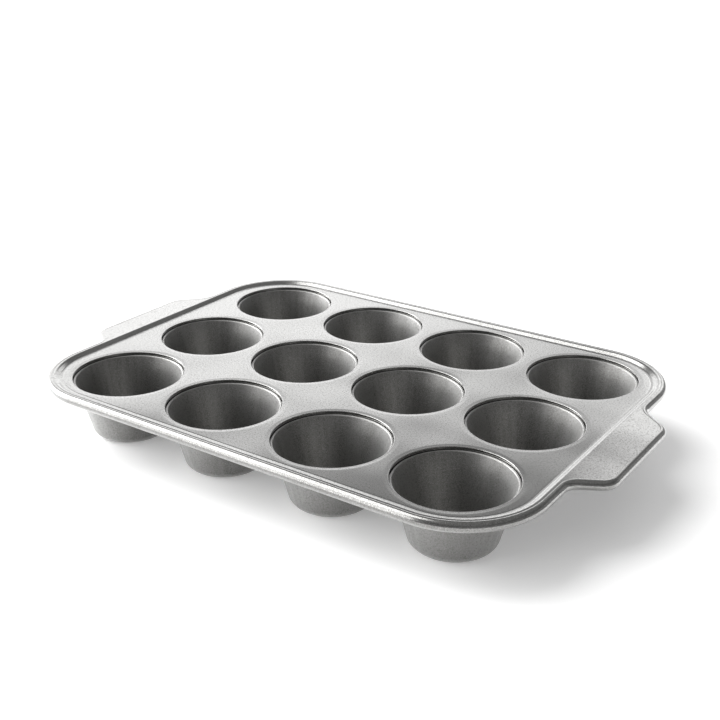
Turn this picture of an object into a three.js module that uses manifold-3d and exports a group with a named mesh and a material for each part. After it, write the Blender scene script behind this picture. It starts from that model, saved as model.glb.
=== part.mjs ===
// A twelve-cup muffin tin, in millimetres, +Z up, standing on its cup floors at z = 0.
// A recessed and punched deck plate carries a raised rim, two handles and a rolled edge with a
// border wire inside it. Twelve drawn cups hang in the deck's seats, each held by its lip above
// the seat and by a pinched lock bead below it.
import * as THREE from 'three';
import { mergeVertices } from 'three/addons/utils/BufferGeometryUtils.js';
import Module from 'manifold-3d';

// ---- Driving dimensions ------------------------------------------------------------------
const sheet = 0.8;              // thickness of the steel sheet
const fitGap = 0.35;            // clearance between two pieces that touch in the real tin
const columns = 4;              // cups along X
const rows = 3;                 // cups along Y
const pitch = 84;               // distance between neighbouring cup axes, both ways
const cupHeight = 41;           // from the cup floor's underside to the top of the deck

const deckHalfX = 172.5;        // the flat deck, out to the foot of the rim's inner slope
const deckHalfY = 127;
const deckCorner = 46;          // corner radius of the flat deck
const slopeWidth = 4.4;         // inner slope of the rim, in plan
const crestRise = 1.9;          // height of the rim's flat crest over the deck
const crestWidth = 1.8;         // flat crest between the slope and the rolled edge
const rollRadius = 3.2;         // outer radius of the rolled edge
const wireRadius = 2;           // border wire inside the rolled edge

const handleReach = 20;         // how far the crest widens outwards to make a handle
const handleDrop = 1.5;         // how far the handle's outer edge lies below the crest
const handleHalf = 39.5;        // half length of the handle at its outer edge
const handleFoot = 53.5;        // half length of the handle where it meets the rim
const handleOuterRound = 11;    // convex corners of the handle
const handleFootRound = 14;     // concave corners where the handle flows into the rim

const seatRadius = 36.8;        // upright wall of the recess round each cup's mouth
const lipDrop = 2;              // how deep the cup's lip lies under the deck
const lipWidth = 1.6;           // flat of the lip, between the recess wall and the rounded mouth
const mouthRound = 1;           // rounding from the lip into the cup
const seatLedge = 1.2;          // width of the ledge that carries the lip
const cupBaseRadius = 25.4;     // outer cup wall, run down straight to the floor's plane
const cupFloorRound = 7;        // outer rounding between the wall and the floor
const beadHeight = 1.6;         // pinched lock bead: two sheets thick
const beadReach = 1.1;          // how far the bead stands out from the wall

const roundSteps = 24;          // facets round a cup
const cornerSteps = 7;          // facets round a corner of the tin
const handleSteps = 3;          // facets round a corner of a handle
const deckTop = cupHeight;
const rimTop = deckTop + crestRise;

// ---- Manifold and mesh helpers -------------------------------------------------------------
const wasm = await Module();
wasm.setup();

function toManifold(geometry) {
  const bare = geometry.clone();
  bare.deleteAttribute('normal');
  bare.deleteAttribute('uv');
  const welded = mergeVertices(bare, 1e-4);
  return new wasm.Manifold(new wasm.Mesh({
    numProp: 3,
    vertProperties: new Float32Array(welded.attributes.position.array),
    triVerts: new Uint32Array(welded.index.array),
  }));
}

function fromManifold(solid) {
  const mesh = solid.getMesh();
  const geometry = new THREE.BufferGeometry();
  geometry.setAttribute('position', new THREE.BufferAttribute(mesh.vertProperties, 3));
  geometry.setIndex(new THREE.BufferAttribute(mesh.triVerts, 1));
  geometry.computeVertexNormals();
  return geometry;
}

// A lathe about +Z: the profile's x is the radius and its y is the height.
function turned(profile, steps) {
  const geometry = new THREE.LatheGeometry(profile, steps);
  geometry.rotateX(Math.PI / 2);
  return geometry;
}

function point(x, y) {
  return new THREE.Vector2(x, y);
}

function closed(section) {
  return [...section, section[0]];
}

// Points of an arc about (x, y), from one angle to another, both ends included.
function arc(x, y, radius, from, to, steps) {
  const points = [];
  for (let i = 0; i <= steps; i++) {
    const angle = from + (to - from) * i / steps;
    points.push(point(x + radius * Math.cos(angle), y + radius * Math.sin(angle)));
  }
  return points;
}

// ---- Outlines in plan ------------------------------------------------------------------------
// A polygon with rounded corners, anticlockwise, as stations with a place and an outward normal.
function roundedOutline(corners) {
  const stations = [];
  corners.forEach(({ at, radius, steps }, i) => {
    const before = corners[(i + corners.length - 1) % corners.length].at;
    const after = corners[(i + 1) % corners.length].at;
    const inward = at.clone().sub(before).normalize();
    const outward = after.clone().sub(at).normalize();
    const turn = Math.atan2(inward.cross(outward), inward.dot(outward));
    const side = Math.sign(turn);
    const start = at.clone().addScaledVector(inward, -radius * Math.tan(Math.abs(turn) / 2));
    const toCentre = point(-inward.y, inward.x).multiplyScalar(side);
    const centre = start.clone().addScaledVector(toCentre, radius);
    for (let k = 0; k <= steps; k++) {
      const spoke = toCentre.clone().negate().rotateAround(point(0, 0), turn * k / steps);
      stations.push({
        place: centre.clone().addScaledVector(spoke, radius),
        normal: spoke.clone().multiplyScalar(side),
      });
    }
  });
  return stations;
}

// The outer border of the flat crest, where the rolled edge begins, with both handles in it.
function borderOutline() {
  const grow = slopeWidth + crestWidth;
  const x = deckHalfX + grow;
  const y = deckHalfY + grow;
  const halfSide = [
    { at: point(x, -y), radius: deckCorner + grow, steps: cornerSteps },
    { at: point(x, -handleFoot), radius: handleFootRound, steps: handleSteps },
    { at: point(x + handleReach, -handleHalf), radius: handleOuterRound, steps: handleSteps },
    { at: point(x + handleReach, handleHalf), radius: handleOuterRound, steps: handleSteps },
    { at: point(x, handleFoot), radius: handleFootRound, steps: handleSteps },
    { at: point(x, y), radius: deckCorner + grow, steps: cornerSteps },
  ];
  const opposite = halfSide.map(corner => ({ ...corner, at: corner.at.clone().negate() }));
  return roundedOutline([...halfSide, ...opposite]);
}

// The point of the flat deck's edge nearest to a place outside it, with the outward direction.
function deckEdgeNear(place) {
  const spanX = deckHalfX - deckCorner;
  const spanY = deckHalfY - deckCorner;
  const centre = point(
    THREE.MathUtils.clamp(place.x, -spanX, spanX),
    THREE.MathUtils.clamp(place.y, -spanY, spanY),
  );
  const normal = place.clone().sub(centre).normalize();
  return { place: centre.addScaledVector(normal, deckCorner), normal };
}

// How far the border lies below the crest at a place: more and more towards a handle's outer edge.
function dropAt(place) {
  const beyondRim = Math.abs(place.x) - deckHalfX - slopeWidth - crestWidth;
  return handleDrop * THREE.MathUtils.clamp(beyondRim / handleReach, 0, 1);
}

// Wraps a closed section round the border. Each section point stands off the deck's edge or
// off the border, level or outwards, at its own height. The grid is a lathe's, moved into place.
function wrapped(section, border) {
  const grid = new THREE.LatheGeometry(section.map(({ out, z }) => point(out + 100, z)), border.length);
  const position = grid.attributes.position;
  for (let i = 0; i <= border.length; i++) {
    const outer = border[i % border.length];
    const inner = deckEdgeNear(outer.place);
    section.forEach(({ onDeckEdge, out, z }, j) => {
      const base = onDeckEdge ? inner : outer;
      const spot = base.place.clone().addScaledVector(base.normal, out);
      const drop = onDeckEdge ? 0 : dropAt(outer.place);
      position.setXYZ(i * section.length + j, spot.x, spot.y, z - drop);
    });
  }
  return grid;
}

// ---- Deck plate ------------------------------------------------------------------------------
// The rim's section: outwards along the underside of the slope and crest and round the inside of
// the rolled edge, then back round its outside and over the top.
function rimSection() {
  const overlap = 1.5;
  const rollSteps = 6;
  const rollCentre = rimTop - rollRadius;
  const slope = [[-overlap, 0], [0, 0], [0.28 * slopeWidth, 0.2], [0.72 * slopeWidth, 0.8], [slopeWidth, 1]];
  const top = slope.map(([out, rise]) => ({ onDeckEdge: true, out, z: deckTop + rise * crestRise }));
  const under = top.map(({ out, z }) => ({ onDeckEdge: true, out, z: z - sheet }));
  const roll = radius => arc(0, rollCentre, radius, Math.PI / 2, -Math.PI, rollSteps)
    .map(spot => ({ onDeckEdge: false, out: spot.x, z: spot.y }));
  return [...under, ...roll(rollRadius - sheet), ...roll(rollRadius).reverse(), ...top.reverse()];
}

// The flat sheet between the rim and the seats, with a round hole at each cup.
function flatDeck(spots) {
  const margin = 0.7;
  const halfX = deckHalfX - margin;
  const halfY = deckHalfY - margin;
  const radius = deckCorner - margin;
  const corners = [[1, -1], [1, 1], [-1, 1], [-1, -1]]
    .map(([x, y]) => ({ at: point(x * halfX, y * halfY), radius, steps: cornerSteps }));
  const shape = new THREE.Shape(roundedOutline(corners).map(({ place }) => place));
  for (const { x, y } of spots) {
    shape.holes.push(new THREE.Path(arc(x, y, seatRadius + sheet + 0.3, 0, -2 * Math.PI, roundSteps)));
  }
  const geometry = new THREE.ExtrudeGeometry(shape, { depth: sheet, bevelEnabled: false });
  geometry.translate(0, 0, deckTop - sheet);
  return geometry;
}

// One seat: the deck turns down into a recess wall and in again to a ledge under the cup's lip.
function seat() {
  const round = 0.7;
  const flange = seatRadius + sheet + 1;
  const ledgeTop = deckTop - lipDrop - sheet - fitGap;
  const section = [
    point(flange, deckTop),
    point(seatRadius + round, deckTop),
    point(seatRadius, deckTop - round),
    point(seatRadius, ledgeTop),
    point(seatRadius - seatLedge, ledgeTop),
    point(seatRadius - seatLedge, ledgeTop - sheet),
    point(seatRadius + sheet, ledgeTop - sheet),
    point(seatRadius + sheet, deckTop - sheet),
    point(flange, deckTop - sheet),
  ];
  return turned(closed(section), roundSteps);
}

function deckPlate(spots, border) {
  let solid = toManifold(wrapped(closed(rimSection()), border)).add(toManifold(flatDeck(spots)));
  for (const { x, y } of spots) {
    solid = solid.add(toManifold(seat().translate(x, y, 0)));
  }
  return fromManifold(solid);
}

// ---- Border wire -----------------------------------------------------------------------------
function rimWire(border) {
  const sides = 8;
  const section = arc(0, rimTop - rollRadius, wireRadius, 0, 2 * Math.PI, sides)
    .map(spot => ({ onDeckEdge: false, out: spot.x, z: spot.y }));
  return fromManifold(toManifold(wrapped(section, border)));
}

// ---- Cup ---------------------------------------------------------------------------------------
// Half section of a drawn cup, from its underside up the outer wall, over the lip and down inside.
function cup() {
  const lipTop = deckTop - lipDrop;
  const lipEdge = seatRadius - fitGap;
  const mouth = seatRadius - fitGap - lipWidth;
  const lean = (mouth + sheet - mouthRound * 0.2 - cupBaseRadius) / lipTop;
  const outerWall = z => cupBaseRadius + lean * z;
  const slant = Math.hypot(1, lean);
  const innerWall = z => outerWall(z) - sheet * slant;
  const upright = Math.atan(lean);
  const centreX = outerWall(cupFloorRound) - cupFloorRound * slant;
  const floorArc = radius => arc(centreX, cupFloorRound, radius, -Math.PI / 2, -upright, 3);
  const beadTop = lipTop - sheet - fitGap - sheet - fitGap;
  const beadBottom = beadTop - beadHeight;
  const neckRadius = outerWall(beadTop);
  const section = [
    point(0, 0),
    ...floorArc(cupFloorRound),
    point(outerWall(beadBottom), beadBottom),
    point(neckRadius + beadReach, beadBottom),
    point(neckRadius + beadReach, beadTop),
    point(neckRadius, beadTop),
    point(neckRadius, lipTop - sheet),
    point(lipEdge, lipTop - sheet),
    point(lipEdge, lipTop),
    point(mouth + 0.5 * mouthRound, lipTop),
    point(mouth - 0.3 * mouthRound, lipTop - 0.3 * mouthRound),
    point(innerWall(lipTop - mouthRound), lipTop - mouthRound),
    ...floorArc(cupFloorRound - sheet).reverse(),
    point(0, sheet),
  ];
  return turned(section, roundSteps);
}

// ---- Assembly ----------------------------------------------------------------------------------
function cupSpots() {
  const spots = [];
  for (let row = 0; row < rows; row++) {
    for (let column = 0; column < columns; column++) {
      spots.push({
        name: `cup_${'abc'[row]}${column + 1}`,
        x: (column - (columns - 1) / 2) * pitch,
        y: (row - (rows - 1) / 2) * pitch,
      });
    }
  }
  return spots;
}

function piece(name, geometry, look) {
  const mesh = new THREE.Mesh(geometry, new THREE.MeshStandardMaterial(look));
  mesh.name = name;
  return mesh;
}

const coatedSteel = { color: 0x8f8e8a, roughness: 0.36, metalness: 0.85 };
const wireSteel = { color: 0x9a9a98, roughness: 0.3, metalness: 1 };

const spots = cupSpots();
const border = borderOutline();
const muffinTin = new THREE.Group();
muffinTin.add(piece('deck_plate', deckPlate(spots, border), coatedSteel));
muffinTin.add(piece('rim_wire', rimWire(border), wireSteel));
for (const { name, x, y } of spots) {
  const mesh = piece(name, cup(), coatedSteel);
  mesh.position.set(x, y, 0);
  muffinTin.add(mesh);
}

export default muffinTin;
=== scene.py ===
import math

import bmesh
import bpy
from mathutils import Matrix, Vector


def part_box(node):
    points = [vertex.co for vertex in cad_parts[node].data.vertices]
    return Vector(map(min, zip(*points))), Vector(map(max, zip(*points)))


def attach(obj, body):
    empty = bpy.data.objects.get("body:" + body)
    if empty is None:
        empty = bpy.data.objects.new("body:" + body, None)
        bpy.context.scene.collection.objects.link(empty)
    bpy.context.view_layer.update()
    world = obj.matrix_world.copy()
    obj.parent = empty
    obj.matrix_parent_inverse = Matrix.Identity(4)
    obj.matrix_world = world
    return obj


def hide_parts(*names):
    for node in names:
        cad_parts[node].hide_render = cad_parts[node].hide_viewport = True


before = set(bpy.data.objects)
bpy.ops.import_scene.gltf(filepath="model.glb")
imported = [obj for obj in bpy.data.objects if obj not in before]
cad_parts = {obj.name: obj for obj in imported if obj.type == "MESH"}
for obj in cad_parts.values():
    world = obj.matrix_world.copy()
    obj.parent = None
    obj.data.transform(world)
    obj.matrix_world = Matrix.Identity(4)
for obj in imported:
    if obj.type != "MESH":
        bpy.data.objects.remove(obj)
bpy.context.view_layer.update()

# A twelve-cup muffin tin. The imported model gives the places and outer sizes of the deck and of
# each cup. This script makes their fine surfaces, their coating, the floor, the light and the camera.

# ---- Sizes, in metres ---------------------------------------------------------------------
MM = 0.001
SHEET = 0.8 * MM
DECK_CORNER = 46 * MM           # corner radius of the flat deck
SLOPE_WIDTH = 4.4 * MM          # inner slope of the rim, in plan
CREST_WIDTH = 1.8 * MM          # crest of the rim, between the slope and the rolled edge
CREST_DIP = 0.09 * MM           # shallow groove along the crest
FOOT_GROOVE_WIDTH = 1.8 * MM    # shallow groove in the deck along the slope's foot
FOOT_GROOVE_DEPTH = 0.06 * MM
SLOPE_ANGLE = 33                # steepest part of the slope, in degrees
FOOT_ROUND = 1.8 * MM           # hollow rounding where the slope leaves the deck
ROLL_RADIUS = 3.2 * MM          # rolled edge
WIRE_RADIUS = 2.0 * MM
HANDLE_REACH = 20 * MM          # how far the crest widens into a handle
HANDLE_DROP = 1.5 * MM          # how far a handle's outer edge lies below the crest
HANDLE_HALF = 39.5 * MM         # half length of a handle at its outer edge
HANDLE_FOOT = 53.5 * MM         # half length of a handle where it leaves the rim
HANDLE_OUTER_ROUND = 11 * MM
HANDLE_FOOT_ROUND = 14 * MM
LIP_DROP = 2 * MM               # depth of a cup's lip under the deck
SEAT_GAP = 0.35 * MM            # seam between a cup's lip and the wall of its seat
LIP_WIDTH = 1.6 * MM
MOUTH_ROUND = 1.0 * MM
SEAT_ROUND = 0.45 * MM          # rounding from the deck down into a seat
SEAT_LEDGE = 1.2 * MM
SEAT_DISH_WIDTH = 3.0 * MM      # the deck sinks a little towards each seat
SEAT_DISH_DEPTH = 0.08 * MM
CUP_BASE_RADIUS = 25.4 * MM     # outer cup wall, run down to the floor's plane
CUP_FLOOR_ROUND = 7 * MM
BEAD_HEIGHT = 1.6 * MM
BEAD_REACH = 1.1 * MM

CUPS = sorted(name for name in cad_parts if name.startswith("cup_"))
deck_low, deck_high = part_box("deck_plate")
cup_low, cup_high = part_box(CUPS[0])
DECK_TOP = cup_high.z + LIP_DROP
RIM_TOP = deck_high.z
CREST_RISE = RIM_TOP - DECK_TOP
ROLL_CENTRE = RIM_TOP - ROLL_RADIUS
BORDER_X = deck_high.x - ROLL_RADIUS - HANDLE_REACH
BORDER_Y = deck_high.y - ROLL_RADIUS
RIM_FLAT = SLOPE_WIDTH + CREST_WIDTH
DECK_X = BORDER_X - RIM_FLAT
DECK_Y = BORDER_Y - RIM_FLAT
LIP_RADIUS = (cup_high.x - cup_low.x) / 2
SEAT_RADIUS = LIP_RADIUS + SEAT_GAP
ROUND_STEPS = 128


# ---- Outlines and sections ------------------------------------------------------------------
def arc(x, y, radius, start, end, steps):
    """Points of an arc about (x, y), both ends included, angles in degrees."""
    points = []
    for i in range(steps + 1):
        angle = math.radians(start + (end - start) * i / steps)
        points.append((x + radius * math.cos(angle), y + radius * math.sin(angle)))
    return points


def rounded_outline(corners, spacing):
    """Stations (place, outward normal) along an anticlockwise polygon with rounded corners."""
    stations = []
    for i, (at, radius, steps) in enumerate(corners):
        before = (at - corners[i - 1][0]).normalized()
        after = (corners[(i + 1) % len(corners)][0] - at).normalized()
        turn = math.atan2(before.cross(after), before.dot(after))
        side = math.copysign(1, turn)
        start = at - before * radius * math.tan(abs(turn) / 2)
        inwards = Vector((-before.y, before.x)) * side
        centre = start + inwards * radius
        if stations:
            stations += straight(stations[-1], (start, -inwards * side), spacing)
        for k in range(steps + 1):
            angle = turn * k / steps
            spoke = Vector((
                -inwards.x * math.cos(angle) + inwards.y * math.sin(angle),
                -inwards.x * math.sin(angle) - inwards.y * math.cos(angle),
            ))
            stations.append((centre + spoke * radius, spoke * side))
    return stations + straight(stations[-1], stations[0], spacing)


def straight(first, last, spacing):
    """Stations strictly between two others, along a straight stretch."""
    count = int((last[0] - first[0]).length / spacing)
    return [(first[0].lerp(last[0], k / (count + 1)), first[1]) for k in range(1, count + 1)]


def border_outline():
    """The outer border of the flat crest, where the rolled edge begins, with both handles."""
    half_side = [
        (Vector((BORDER_X, -BORDER_Y)), DECK_CORNER + RIM_FLAT, 28),
        (Vector((BORDER_X, -HANDLE_FOOT)), HANDLE_FOOT_ROUND, 10),
        (Vector((BORDER_X + HANDLE_REACH, -HANDLE_HALF)), HANDLE_OUTER_ROUND, 10),
        (Vector((BORDER_X + HANDLE_REACH, HANDLE_HALF)), HANDLE_OUTER_ROUND, 10),
        (Vector((BORDER_X, HANDLE_FOOT)), HANDLE_FOOT_ROUND, 10),
        (Vector((BORDER_X, BORDER_Y)), DECK_CORNER + RIM_FLAT, 28),
    ]
    return rounded_outline(half_side + [(-at, radius, steps) for at, radius, steps in half_side], 9 * MM)


def deck_edge_near(place):
    """The point of the flat deck's edge nearest to a place outside it, and its outward normal."""
    span_x = DECK_X - DECK_CORNER
    span_y = DECK_Y - DECK_CORNER
    centre = Vector((max(-span_x, min(span_x, place.x)), max(-span_y, min(span_y, place.y))))
    normal = (place - centre).normalized()
    return centre + normal * DECK_CORNER, normal


def rim_ring(station, section):
    """A rim section stood up at one station of the border."""
    inner = deck_edge_near(station[0])
    beyond_rim = (abs(station[0].x) - BORDER_X) / HANDLE_REACH
    drop = HANDLE_DROP * max(0, min(1, beyond_rim))
    points = []
    for on_deck_edge, out, z in section:
        place, normal = inner if on_deck_edge else station
        spot = place + normal * out
        points.append(Vector((spot.x, spot.y, z if on_deck_edge else z - drop)))
    return points


def slope_section():
    """The rim's inner slope: a hollow rounding, a straight stretch, and a full rounding to the crest."""
    angle = math.radians(SLOPE_ANGLE)
    foot = arc(0, FOOT_ROUND, FOOT_ROUND, -90, -90 + SLOPE_ANGLE, 6)
    run = SLOPE_WIDTH - FOOT_ROUND * math.sin(angle)
    rise = CREST_RISE - FOOT_ROUND * (1 - math.cos(angle))
    crest_round = (run * math.tan(angle) - rise) / (math.sin(angle) * math.tan(angle) - 1 + math.cos(angle))
    return foot + arc(SLOPE_WIDTH, CREST_RISE - crest_round, crest_round, 90 + SLOPE_ANGLE, 90, 10)


def dip(depth, share):
    """How far a groove of this depth has sunk, share running from 0 to 1 across it."""
    return depth * (1 - math.cos(2 * math.pi * share)) / 2


def rim_section():
    """From the deck's top out over slope and crest, round the roll, and back underneath."""
    groove = [(-FOOT_GROOVE_WIDTH * (1 - k / 8), -dip(FOOT_GROOVE_DEPTH, k / 8)) for k in range(8)]
    top = [(True, out, DECK_TOP + rise) for out, rise in groove + slope_section()]
    top += [(True, SLOPE_WIDTH + CREST_WIDTH * k / 8, RIM_TOP - dip(CREST_DIP, k / 8)) for k in (1, 2, 3)]
    top += [(False, -CREST_WIDTH * (1 - k / 8), RIM_TOP - dip(CREST_DIP, k / 8)) for k in (5, 6, 7)]
    under = [(on_deck_edge, out, z - SHEET) for on_deck_edge, out, z in top]
    outer = [(False, out, z) for out, z in arc(0, ROLL_CENTRE, ROLL_RADIUS, 90, -180, 30)]
    inner = [(False, out, z) for out, z in arc(0, ROLL_CENTRE, ROLL_RADIUS - SHEET, 90, -180, 30)]
    return top + outer + inner[::-1] + under[::-1]


def seat_section():
    """From the deck's top down into a seat, in along its ledge, and back underneath."""
    ledge = DECK_TOP - LIP_DROP - SHEET - SEAT_GAP
    rim = SEAT_RADIUS + SEAT_ROUND
    dish = []
    for k in range(6):
        sunk = SEAT_DISH_DEPTH * (1 - math.cos(math.pi * k / 6)) / 2
        dish.append((rim + SEAT_DISH_WIDTH * (1 - k / 6), DECK_TOP - sunk))
    top = DECK_TOP - SEAT_DISH_DEPTH
    shoulder = arc(rim, top - SEAT_ROUND, SEAT_ROUND, 90, 180, 8)
    return dish + shoulder + [
        (SEAT_RADIUS, ledge + 0.3 * MM),
        (SEAT_RADIUS, ledge),
        (SEAT_RADIUS - SEAT_LEDGE, ledge),
        (SEAT_RADIUS - SEAT_LEDGE, ledge - SHEET),
        (SEAT_RADIUS + 0.2 * MM, ledge - SHEET),
        (SEAT_RADIUS + SHEET, ledge - 0.2 * MM),
        (SEAT_RADIUS + SHEET, DECK_TOP - SHEET - 1.0 * MM),
        (SEAT_RADIUS + SHEET + 0.3 * MM, DECK_TOP - SHEET - 0.3 * MM),
        (rim + SHEET, DECK_TOP - SHEET),
        (rim + SEAT_DISH_WIDTH, DECK_TOP - SHEET),
    ]


def cup_section():
    """From the middle of a cup's underside, up outside, over the lip and down inside."""
    lip_top = DECK_TOP - LIP_DROP
    mouth = LIP_RADIUS - LIP_WIDTH
    lean = (mouth + SHEET - 0.2 * MOUTH_ROUND - CUP_BASE_RADIUS) / lip_top
    slant = math.hypot(1, lean)
    upright = math.degrees(math.atan(lean))

    def wall(z):
        return CUP_BASE_RADIUS + lean * z

    centre = wall(CUP_FLOOR_ROUND) - CUP_FLOOR_ROUND * slant
    bead_top = lip_top - 2 * SHEET - 2 * SEAT_GAP
    bead_bottom = bead_top - BEAD_HEIGHT
    neck = wall(bead_top)
    outer_floor = arc(centre, CUP_FLOOR_ROUND, CUP_FLOOR_ROUND, -90, -upright, 14)
    inner_floor = arc(centre, CUP_FLOOR_ROUND, CUP_FLOOR_ROUND - SHEET, -90, -upright, 14)
    bead_round = BEAD_HEIGHT / 2
    bead = arc(neck + BEAD_REACH - bead_round, bead_bottom + bead_round, bead_round, -80, 80, 8)
    lip_edge = arc(LIP_RADIUS - SHEET / 2, lip_top - SHEET / 2, SHEET / 2, -90, 90, 6)
    turn_x = wall(lip_top) - SHEET * slant + MOUTH_ROUND * 1.28
    mouth_arc = arc(turn_x, lip_top - MOUTH_ROUND, MOUTH_ROUND, 90, 180 - upright, 10)
    rise = [(wall(z), z) for z in steps_between(CUP_FLOOR_ROUND, bead_bottom, 6)]
    fall = [(wall(z) - SHEET * slant, z) for z in steps_between(lip_top - 2.2 * MM, CUP_FLOOR_ROUND, 6)]
    return (
        [(0, 0), (centre * 0.6, 0)] + outer_floor + rise + bead
        + [(neck, bead_top + 0.1 * MM), (neck, lip_top - SHEET - 0.2 * MM), (neck + 0.3 * MM, lip_top - SHEET)]
        + lip_edge + mouth_arc + fall + inner_floor[::-1] + [(centre * 0.6, SHEET), (0, SHEET)]
    )


def steps_between(start, end, count):
    """Values strictly between two others, evenly spaced."""
    return [start + (end - start) * k / (count + 1) for k in range(1, count + 1)]


# ---- Mesh building ------------------------------------------------------------------------------
def bridge(bm, rings, closed):
    """Quads between neighbouring rings of vertices, and round to the first ring if closed."""
    pairs = list(zip(rings, rings[1:]))
    if closed:
        pairs.append((rings[-1], rings[0]))
    for one, two in pairs:
        for j in range(len(one)):
            k = (j + 1) % len(one)
            corners = []
            for vertex in (one[j], two[j], two[k], one[k]):
                if vertex not in corners:
                    corners.append(vertex)
            if len(corners) > 2:
                bm.faces.new(corners)


def turned_rings(bm, section, centre):
    """Rings of vertices about a vertical axis: one ring per section point, a pole on the axis."""
    rings = []
    for radius, z in section:
        if radius == 0:
            rings.append([bm.verts.new((centre.x, centre.y, z))] * ROUND_STEPS)
            continue
        ring = []
        for x, y in arc(centre.x, centre.y, radius, 0, 360, ROUND_STEPS)[:-1]:
            ring.append(bm.verts.new((x, y, z)))
        rings.append(ring)
    return rings


def loop_edges(bm, ring):
    edges = []
    for j in range(len(ring)):
        pair = (ring[j], ring[(j + 1) % len(ring)])
        edges.append(bm.edges.get(pair) or bm.edges.new(pair))
    return edges


def finished(bm, name):
    """Turns a bmesh into a smooth-shaded object whose flat stretches stay flat."""
    bmesh.ops.recalc_face_normals(bm, faces=bm.faces)
    mesh = bpy.data.meshes.new(name)
    bm.to_mesh(mesh)
    bm.free()
    mesh.shade_smooth()
    piece = bpy.data.objects.new(name, mesh)
    bpy.context.scene.collection.objects.link(piece)
    weighting = piece.modifiers.new("flat_faces_stay_flat", "WEIGHTED_NORMAL")
    weighting.weight = 80
    return piece


def cup_centre(name):
    low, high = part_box(name)
    return (low + high) / 2


def make_deck(border):
    bm = bmesh.new()
    section = rim_section()
    across = [[bm.verts.new(point) for point in rim_ring(station, section)] for station in border]
    rings = [list(ring) for ring in zip(*across)]
    bridge(bm, rings, closed=False)
    top_edges = loop_edges(bm, rings[0])
    under_edges = loop_edges(bm, rings[-1])
    for name in CUPS:
        seat = turned_rings(bm, seat_section(), cup_centre(name))
        bridge(bm, seat, closed=False)
        top_edges += loop_edges(bm, seat[0])
        under_edges += loop_edges(bm, seat[-1])
    for edges in (top_edges, under_edges):
        bmesh.ops.triangle_fill(bm, edges=edges, use_beauty=True, normal=(0, 0, 1))
    return finished(bm, "deck_plate_fine")


def make_wire(border):
    bm = bmesh.new()
    across = []
    for station in border:
        section = [(False, out, z) for out, z in arc(0, ROLL_CENTRE, WIRE_RADIUS, 0, 360, 16)[:-1]]
        across.append([bm.verts.new(point) for point in rim_ring(station, section)])
    bridge(bm, across, closed=True)
    return finished(bm, "rim_wire_fine")


def make_cup(name):
    bm = bmesh.new()
    bridge(bm, turned_rings(bm, cup_section(), cup_centre(name)), closed=False)
    return finished(bm, name + "_fine")


# ---- Materials ---------------------------------------------------------------------------------
FLECKS = 1900                   # noise cells per metre: fine bright flecks
GRAIN = 950                     # dark grain between the flecks
CLOUDS = 22                     # broad mottling
STREAKS = 260                   # draw marks up a cup's wall
WAVES = 13                      # slow waviness of the deck
MILL_SCALE = 400                # patches on the bare wire
LOW_ANGLE_GREY = 0.66           # what the coating tends to when seen at a low angle


def new_material(name):
    material = bpy.data.materials.new(name)
    material.use_nodes = True
    return material, material.node_tree, material.node_tree.nodes["Principled BSDF"]


def add_node(tree, kind, **settings):
    node = tree.nodes.new(kind)
    for key, value in settings.items():
        setattr(node, key, value)
    return node


def noise(tree, place, scale, detail=2.0, roughness=0.5):
    """A noise texture's value, over a place socket, in cells per metre."""
    node = add_node(tree, "ShaderNodeTexNoise")
    node.inputs["Scale"].default_value = scale
    node.inputs["Detail"].default_value = detail
    node.inputs["Roughness"].default_value = roughness
    tree.links.new(place, node.inputs["Vector"])
    return node.outputs["Fac"]


def ramp(tree, value, low, high, start, end):
    """A value mapped from one range to another, clamped."""
    node = add_node(tree, "ShaderNodeMapRange", clamp=True)
    tree.links.new(value, node.inputs["Value"])
    node.inputs["From Min"].default_value = low
    node.inputs["From Max"].default_value = high
    node.inputs["To Min"].default_value = start
    node.inputs["To Max"].default_value = end
    return node.outputs["Result"]


def blend_colour(tree, factor, first, second):
    """Two colours mixed by a factor socket. Each is a socket or four numbers."""
    node = add_node(tree, "ShaderNodeMix", data_type="RGBA")
    tree.links.new(factor, node.inputs["Factor"])
    for socket, colour in ((node.inputs[6], first), (node.inputs[7], second)):
        if isinstance(colour, bpy.types.NodeSocket):
            tree.links.new(colour, socket)
        else:
            socket.default_value = colour
    return node.outputs[2]


def grey(value, warmth=0.004):
    return (value + warmth, value + warmth * 0.5, value - warmth, 1.0)


def bump(tree, height, distance, strength, under=None):
    node = add_node(tree, "ShaderNodeBump")
    node.inputs["Strength"].default_value = strength
    node.inputs["Distance"].default_value = distance
    tree.links.new(height, node.inputs["Height"])
    if under:
        tree.links.new(under, node.inputs["Normal"])
    return node.outputs["Normal"]


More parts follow.
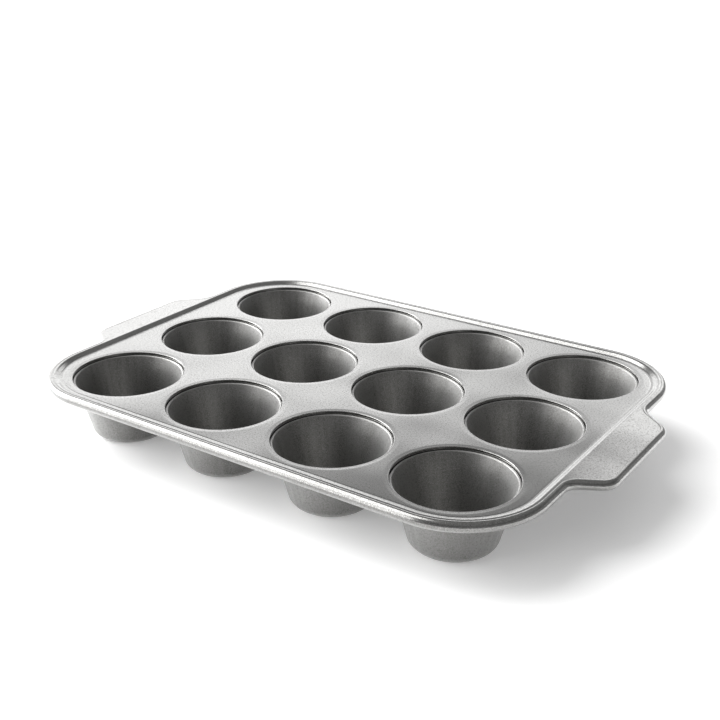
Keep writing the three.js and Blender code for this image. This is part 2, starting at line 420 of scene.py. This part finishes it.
def coated_steel(name, dark, light, rough, fleck_height, streaks, waviness):
    """Grey metallic coating on steel: glossier at a low angle, fine flecks, mottling, worn edges.

    dark and light bound the mottling, streaks is how strongly draw marks show, and waviness is
    the depth of slow waves in the sheet.
    """
    material, tree, shader = new_material(name)
    place = add_node(tree, "ShaderNodeTexCoord").outputs["Object"]
    flecks = noise(tree, place, FLECKS, detail=2.0, roughness=0.6)
    grain = noise(tree, place, GRAIN, detail=3.0, roughness=0.65)
    clouds = noise(tree, place, CLOUDS, detail=3.0, roughness=0.55)
    colour = blend_colour(tree, ramp(tree, clouds, 0.3, 0.7, 0, 1), grey(dark), grey(light))
    low_angle = add_node(tree, "ShaderNodeLayerWeight")
    low_angle.inputs["Blend"].default_value = 0.5
    gloss = ramp(tree, low_angle.outputs["Facing"], 0.25, 0.72, 0, 0.72)
    colour = blend_colour(tree, gloss, colour, grey(LOW_ANGLE_GREY))
    colour = blend_colour(tree, ramp(tree, flecks, 0.50, 0.66, 0, 0.42), colour, grey(light * 2.1))
    colour = blend_colour(tree, ramp(tree, grain, 0.50, 0.36, 0, 0.40), colour, grey(dark * 0.5))
    if streaks:
        drawn = add_node(tree, "ShaderNodeAttribute", attribute_name="draw").outputs["Vector"]
        lines = noise(tree, drawn, STREAKS, detail=2.0, roughness=0.5)
        colour = blend_colour(tree, ramp(tree, lines, 0.35, 0.75, 0, streaks), colour, grey(light * 1.3))
    edges = add_node(tree, "ShaderNodeNewGeometry").outputs["Pointiness"]
    colour = blend_colour(tree, ramp(tree, edges, 0.53, 0.62, 0, 0.35), colour, grey(light * 1.7))
    tree.links.new(colour, shader.inputs["Base Color"])
    tree.links.new(ramp(tree, grain, 0.3, 0.7, rough + 0.04, rough - 0.04), shader.inputs["Roughness"])
    shader.inputs["Metallic"].default_value = 1.0
    normal = bump(tree, flecks, fleck_height, 0.6)
    if waviness:
        waves = noise(tree, place, WAVES, detail=1.0)
        normal = bump(tree, waves, waviness, 1.0, normal)
    tree.links.new(normal, shader.inputs["Normal"])
    return material


def wire_steel(name):
    material, tree, shader = new_material(name)
    place = add_node(tree, "ShaderNodeTexCoord").outputs["Object"]
    scale = noise(tree, place, MILL_SCALE, detail=3.0)
    colour = blend_colour(tree, ramp(tree, scale, 0.35, 0.65, 0, 1), grey(0.42, 0.005), grey(0.6, 0.005))
    tree.links.new(colour, shader.inputs["Base Color"])
    tree.links.new(ramp(tree, scale, 0.3, 0.7, 0.42, 0.3), shader.inputs["Roughness"])
    shader.inputs["Metallic"].default_value = 1.0
    tree.links.new(bump(tree, scale, 0.05 * MM, 0.3), shader.inputs["Normal"])
    return material


def add_draw_direction(piece, centre):
    """Stores each point's place round the cup, with height squeezed, for streaks that run up the wall."""
    squeeze = 0.06
    data = piece.data.attributes.new("draw", "FLOAT_VECTOR", "POINT").data
    for vertex, entry in zip(piece.data.vertices, data):
        flat = Vector((vertex.co.x - centre.x, vertex.co.y - centre.y))
        turn = flat.normalized() * LIP_RADIUS if flat.length > 0 else flat
        entry.vector = (centre.x + turn.x, centre.y + turn.y, vertex.co.z * squeeze)


def dress(piece, material, node):
    piece.data.materials.append(material)
    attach(piece, "root")
    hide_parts(node)


# ---- Stage ----------------------------------------------------------------------------------------
CAMERA_AZIMUTH = 34.64
CAMERA_ELEVATION = 22.90
CAMERA_DISTANCE = 0.7631
CAMERA_TARGET = Vector((-11.4 * MM, 22.6 * MM, DECK_TOP))
CAMERA_LENS = 55.38             # on a 36 mm wide sensor
FLOOR_RADIUS = 9.0
FLOOR_GLOW = 0.25               # light the floor gives off, which softens the shadows
WALL_LIGHT = 1.7                # brightness of the wall round the table
WALL_TOP = (0.41, 0.49)         # height on the unit sphere over which the wall fades out
WALL_FOOT = (0.26, 0.36)        # height over which the wall reaches its full brightness
WALL_FOOT_SHARE = 0.78          # brightness below that, as a share of the full one
UNLIT_AZIMUTH = 62              # the wall is dark on this side
UNLIT_SHARE = 0.12
PANELS = (                      # azimuth, elevation, half angle, soft edge, strength
    (-52, 20, 26, 8, 3.0),
    (-84, 24, 15, 10, 4.5),
    (190, 25, 6, 4, 1.4),
)


def make_floor():
    bm = bmesh.new()
    bmesh.ops.create_circle(bm, cap_ends=True, segments=96, radius=FLOOR_RADIUS)
    mesh = bpy.data.meshes.new("floor")
    bm.to_mesh(mesh)
    bm.free()
    floor = bpy.data.objects.new("floor", mesh)
    bpy.context.scene.collection.objects.link(floor)
    material, _, shader = new_material("floor_white")
    shader.inputs["Base Color"].default_value = (0.93, 0.93, 0.93, 1)
    shader.inputs["Roughness"].default_value = 0.9
    shader.inputs["Specular IOR Level"].default_value = 0.2
    shader.inputs["Emission Color"].default_value = (1, 1, 1, 1)
    shader.inputs["Emission Strength"].default_value = FLOOR_GLOW
    mesh.materials.append(material)


def direction(azimuth, elevation):
    """The unit vector towards a viewpoint: azimuth 0 stands at the front, 90 at the right, in degrees."""
    turn, rise = math.radians(azimuth), math.radians(elevation)
    return Vector((math.sin(turn) * math.cos(rise), -math.cos(turn) * math.cos(rise), math.sin(rise)))


def sun(name, azimuth, elevation, spread, strength):
    lamp = bpy.data.lights.new(name, "SUN")
    lamp.angle = math.radians(spread)
    lamp.energy = strength
    holder = bpy.data.objects.new(name, lamp)
    holder.rotation_mode = "QUATERNION"
    holder.rotation_quaternion = (-direction(azimuth, elevation)).to_track_quat("-Z", "Y")
    bpy.context.scene.collection.objects.link(holder)


def toward(tree, way, aim):
    node = add_node(tree, "ShaderNodeVectorMath", operation="DOT_PRODUCT")
    node.inputs[1].default_value = aim
    tree.links.new(way, node.inputs[0])
    return node.outputs["Value"]


def panel(tree, way, azimuth, elevation, half_angle, edge, strength):
    """A round soft light in the room: full inside half_angle, gone edge degrees further out."""
    inner = math.cos(math.radians(half_angle))
    outer = math.cos(math.radians(half_angle + edge))
    return ramp(tree, toward(tree, way, direction(azimuth, elevation)), outer, inner, 0, strength)


def calculated(tree, operation, first, second):
    node = add_node(tree, "ShaderNodeMath", operation=operation)
    tree.links.new(first, node.inputs[0])
    tree.links.new(second, node.inputs[1])
    return node.outputs["Value"]


def wall_light(tree, way, height):
    """A bright wall behind and to the left: dimmer at its foot, and dark on the unlit side."""
    wall = ramp(tree, height, *WALL_TOP, WALL_LIGHT, 0)
    shade = ramp(tree, toward(tree, way, direction(UNLIT_AZIMUTH, 0)), -0.86, -0.5, 1, UNLIT_SHARE)
    light = calculated(tree, "MULTIPLY", wall, shade)
    return calculated(tree, "MULTIPLY", light, ramp(tree, height, *WALL_FOOT, WALL_FOOT_SHARE, 1))


def show_plain_white(tree, background):
    """Lets the camera see plain white past the floor, while the tin still reflects the room."""
    plain = add_node(tree, "ShaderNodeBackground")
    plain.inputs["Color"].default_value = (1, 1, 1, 1)
    backdrop = add_node(tree, "ShaderNodeMixShader")
    seen = add_node(tree, "ShaderNodeLightPath").outputs["Is Camera Ray"]
    tree.links.new(seen, backdrop.inputs["Fac"])
    tree.links.new(background.outputs["Background"], backdrop.inputs[1])
    tree.links.new(plain.outputs["Background"], backdrop.inputs[2])
    tree.links.new(backdrop.outputs["Shader"], tree.nodes["World Output"].inputs["Surface"])


def make_room():
    """Soft surroundings for the tin to reflect: the wall, a dim ceiling, and soft panels."""
    world = bpy.data.worlds.new("room")
    world.use_nodes = True
    tree = world.node_tree
    way = add_node(tree, "ShaderNodeTexCoord").outputs["Generated"]
    parts = add_node(tree, "ShaderNodeSeparateXYZ")
    tree.links.new(way, parts.inputs["Vector"])
    height = parts.outputs["Z"]
    ceiling = ramp(tree, height, 0.6, 0.85, 0.22, 0.42)
    light = calculated(tree, "ADD", wall_light(tree, way, height), ceiling)
    for spot in PANELS:
        light = calculated(tree, "ADD", light, panel(tree, way, *spot))
    background = tree.nodes["Background"]
    background.inputs["Color"].default_value = (1, 1, 1, 1)
    tree.links.new(light, background.inputs["Strength"])
    show_plain_white(tree, background)
    bpy.context.scene.world = world


def make_camera():
    """The view of the tin from its front right corner, a little above."""
    back = direction(CAMERA_AZIMUTH, CAMERA_ELEVATION)
    camera = bpy.data.objects.new("camera", bpy.data.cameras.new("camera"))
    camera.data.lens = CAMERA_LENS
    camera.data.sensor_width = 36
    camera.data.clip_start = 0.01
    camera.data.clip_end = 100
    camera.location = CAMERA_TARGET + back * CAMERA_DISTANCE
    camera.rotation_mode = "QUATERNION"
    camera.rotation_quaternion = (-back).to_track_quat("-Z", "Y")
    bpy.context.scene.collection.objects.link(camera)
    bpy.context.scene.camera = camera


# ---- The scene --------------------------------------------------------------------------------------
make_camera()
border = border_outline()
deck_coat = coated_steel("deck_coating", dark=0.20, light=0.25, rough=0.20,
                         fleck_height=0.005 * MM, streaks=0, waviness=1.6 * MM)
cup_coat = coated_steel("cup_coating", dark=0.16, light=0.21, rough=0.44,
                        fleck_height=0.06 * MM, streaks=0.45, waviness=0)
dress(make_deck(border), deck_coat, "deck_plate")
dress(make_wire(border), wire_steel("border_wire_steel"), "rim_wire")
for cup_name in CUPS:
    cup_piece = make_cup(cup_name)
    add_draw_direction(cup_piece, cup_centre(cup_name))
    dress(cup_piece, cup_coat, cup_name)
make_floor()
make_room()
sun("left_key", -84, 50, 50, 2.2)
bpy.context.scene.view_settings.view_transform = "Standard"
